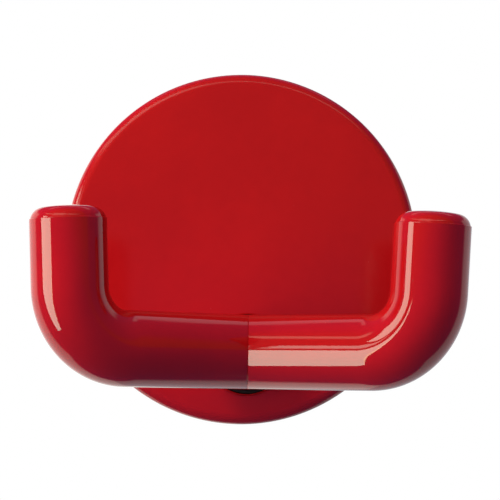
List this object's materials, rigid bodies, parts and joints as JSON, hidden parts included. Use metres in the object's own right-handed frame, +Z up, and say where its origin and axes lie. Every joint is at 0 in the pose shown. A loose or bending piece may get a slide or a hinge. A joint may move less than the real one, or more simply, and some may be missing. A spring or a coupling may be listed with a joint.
{
  "type": "double coat hook",
  "caption": "Coat hook with a pair of upturned round arms that meet in a mitre on a round wall rose, gloss red plastic over a steel core, held by a hidden wall plate.",
  "frame": {"origin": "middle of the rose on the wall plane, half way between the wall screw holes", "axes": "+X to the right along the bar, +Y into the wall, +Z up; the hook stands out towards -Y"},
  "size_m": [0.0794, 0.0539, 0.07],
  "materials": {
    "red_nylon": "high gloss moulded nylon",
    "black_rubber": "soft matt rubber",
    "carrier_plastic": "moulded, fine grain",
    "plate_steel": "punched stainless sheet, fine brushing",
    "core_steel": "turned, bright zinc plated",
    "screw_steel": "blackened or plated screw steel"
  },
  "bodies": {
    "root": {"wall_plate": "plate_steel", "plate_spigot": "core_steel", "spigot_screw": "screw_steel", "locating_pins": "core_steel", "cover_carrier": "carrier_plastic", "carrier_screws": "screw_steel", "rose_cover": "red_nylon", "neck_ring": "black_rubber", "stem_flange": "core_steel", "core_stem": "core_steel", "left_core_rod": "core_steel", "right_core_rod": "core_steel", "grub_screw": "screw_steel", "neck_sleeve": "red_nylon", "left_arm": "red_nylon", "right_arm": "red_nylon", "left_tip_cap": "red_nylon", "right_tip_cap": "red_nylon"}
  },
  "joints": []
}
